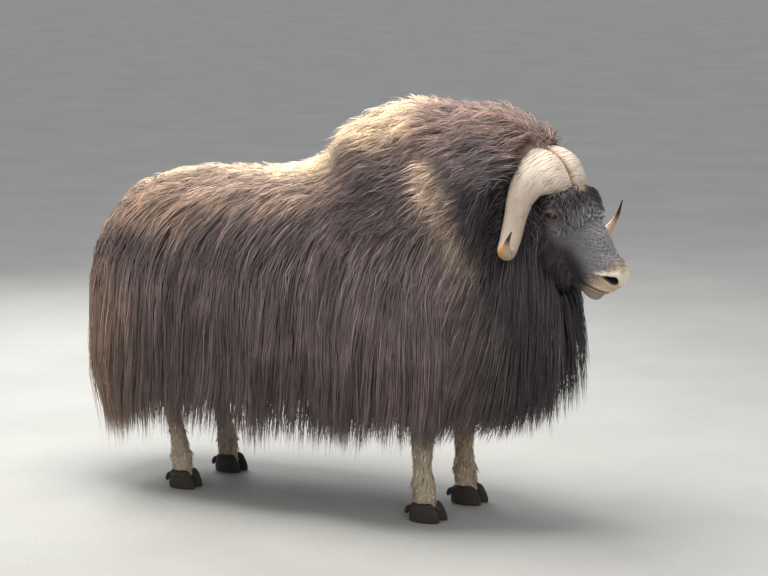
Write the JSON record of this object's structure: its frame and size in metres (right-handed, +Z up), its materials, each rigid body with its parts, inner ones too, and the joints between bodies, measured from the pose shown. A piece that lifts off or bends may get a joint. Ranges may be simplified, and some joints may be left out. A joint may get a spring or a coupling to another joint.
{
  "type": "muskox",
  "caption": "Life-size standing muskox with a long hanging coat, a high hump, a low head, curved horns with broad bosses, and short pale legs on cloven hooves.",
  "frame": {"origin": "on the floor, below the middle of the model's bounding box", "axes": "+X towards the nose, +Y to the animal's left, +Z up"},
  "size_m": [2.079, 0.81, 1.3923],
  "materials": {
    "dark_coat": "long coarse guard hair, straight, dark brown",
    "brown_coat": "soft curled hair of mane and rump, mid brown",
    "saddle_coat": "short pale hair of the saddle",
    "face_coat": "short black-brown hair of the face",
    "horn": "dull ribbed horn, cream with orange-brown hook and dark tip",
    "stocking": "short pale hair of the lower legs",
    "hoof": "hard dark hoof, worn",
    "eye": "wet dark eye"
  },
  "bodies": {
    "root": {"rear": "dark_coat", "tail": "dark_coat", "haunch_left": "dark_coat", "haunch_right": "dark_coat", "flank_left": "dark_coat", "flank_right": "dark_coat", "shoulder_left": "dark_coat", "shoulder_right": "dark_coat", "rump": "brown_coat", "back": "saddle_coat", "withers": "brown_coat", "neck": "dark_coat", "head": "face_coat", "horn_left": "horn", "ear_left": "brown_coat", "eye_left": "eye", "leg_fore_left": "stocking", "leg_hind_left": "stocking", "hoof_fore_left": "hoof", "hoof_hind_left": "hoof", "horn_right": "horn", "ear_right": "brown_coat", "eye_right": "eye", "leg_fore_right": "stocking", "leg_hind_right": "stocking", "hoof_fore_right": "hoof", "hoof_hind_right": "hoof"}
  },
  "joints": []
}
